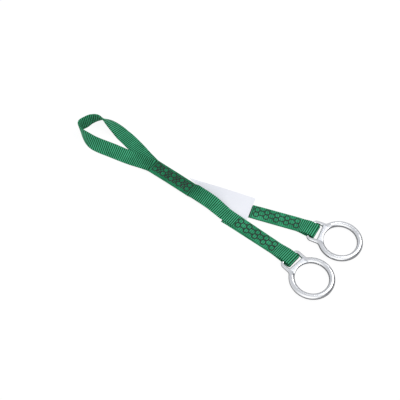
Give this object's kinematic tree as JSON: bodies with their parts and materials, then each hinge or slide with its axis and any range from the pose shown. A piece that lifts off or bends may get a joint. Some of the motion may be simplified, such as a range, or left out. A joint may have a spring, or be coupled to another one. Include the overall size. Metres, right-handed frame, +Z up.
{
  "type": "webbing sling with two rings",
  "caption": "Flat webbing sling with an open eye at one end and two sewn legs, each holding a forged ring by a webbing slot.",
  "frame": {"origin": "on the floor under the centre of the whole sling as it lies flat", "axes": "+X from the eye to the rings, +Y across the sling towards the upper leg, +Z up from the floor"},
  "size_m": [0.4981, 0.1478, 0.0225],
  "materials": {
    "webbing": "woven, ribbed across",
    "thread": "matte",
    "ring_metal": "polished",
    "label": "matte"
  },
  "bodies": {
    "block": {"block_top_ply": "webbing", "block_bottom_ply": "webbing", "block_stitching": "thread", "label_tab": "label"},
    "eye": {"eye_webbing": "webbing"},
    "lower_leg": {"lower_leg_webbing": "webbing"},
    "lower_lap": {"lower_lap_webbing": "webbing", "lower_lap_stitching": "thread"},
    "lower_ring_body": {"lower_ring": "ring_metal"},
    "upper_leg": {"upper_leg_webbing": "webbing"},
    "upper_lap": {"upper_lap_webbing": "webbing", "upper_lap_stitching": "thread"},
    "upper_ring_body": {"upper_ring": "ring_metal"},
    "label": {"label_flap": "label"}
  },
  "joints": [
    {"name": "eye_fold", "type": "hinge", "parent": "block", "child": "eye", "pos_m": [-0.09822, -0.0236, 0.00255], "axis": [0, -1, 0], "range_deg": [-80, 80]},
    {"name": "lower_leg_lift", "type": "hinge", "parent": "block", "child": "lower_leg", "pos_m": [-0.02222, -0.0256, 0.0037], "axis": [0, -1, 0], "range_deg": [0, 80]},
    {"name": "lower_lap_bend", "type": "hinge", "parent": "lower_leg", "child": "lower_lap", "pos_m": [0.04778, -0.0272, 0.0037], "axis": [-0.0209, -0.9998, 0], "range_deg": [0, 80]},
    {"name": "lower_ring_swing", "type": "hinge", "parent": "lower_lap", "child": "lower_ring_body", "pos_m": [0.16837, -0.03132, 0.0048], "axis": [-0.1736, -0.9848, 0], "range_deg": [-135, 135]},
    {"name": "upper_leg_drop", "type": "hinge", "parent": "block", "child": "upper_leg", "pos_m": [-0.02222, -0.0226, 0.0014], "axis": [0, 1, 0], "range_deg": [0, 80]},
    {"name": "upper_lap_bend", "type": "hinge", "parent": "upper_leg", "child": "upper_lap", "pos_m": [0.07578, 0.0018, 0.0014], "axis": [0.3256, -0.9455, 0], "range_deg": [-80, 80]},
    {"name": "upper_ring_swing", "type": "hinge", "parent": "upper_lap", "child": "upper_ring_body", "pos_m": [0.1681, 0.02931, 0.0048], "axis": [0.2164, -0.9763, 0], "range_deg": [-135, 135]},
    {"name": "label_lift", "type": "hinge", "parent": "block", "child": "label", "pos_m": [0.00528, -0.01302, 0.0024], "axis": [0.9998, -0.0175, 0], "range_deg": [0, 90]}
  ]
}
